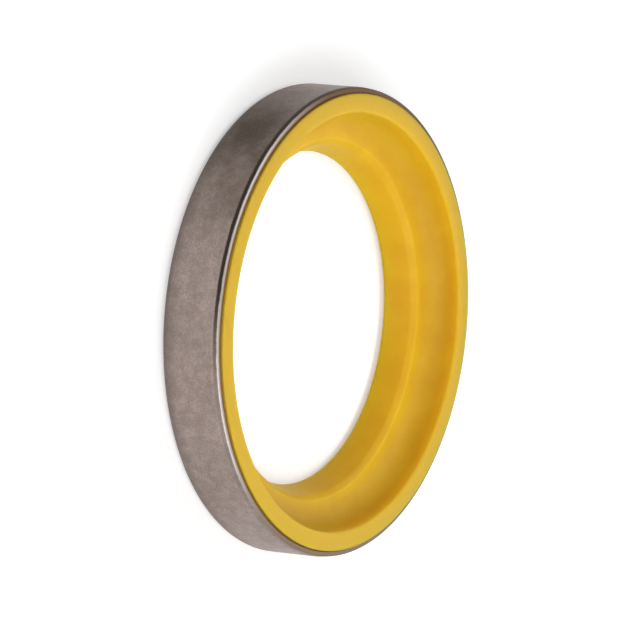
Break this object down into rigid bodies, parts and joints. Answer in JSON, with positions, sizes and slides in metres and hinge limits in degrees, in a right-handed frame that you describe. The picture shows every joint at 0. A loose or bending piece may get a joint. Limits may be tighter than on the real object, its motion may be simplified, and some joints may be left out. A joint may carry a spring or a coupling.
{
  "type": "hydraulic seal",
  "caption": "Round hydraulic rod wiper: a drawn steel case holding a moulded polyurethane ring with a proud rim, a concave cove and a tapered bore that ends in a wiping lip.",
  "frame": {"origin": "centre of the case's back face, on the plane that the seal lies on", "axes": "+Z along the seal's axis, out of its open face; X and Y are alike"},
  "size_m": [0.0698, 0.0698, 0.0104],
  "materials": {
    "case_steel": "matt grey-brown phosphated steel, worn smooth and bright round its open edge",
    "polyurethane": "satin yellow polyurethane"
  },
  "bodies": {
    "root": {"steel_case": "case_steel", "lip_ring": "polyurethane"}
  },
  "joints": []
}
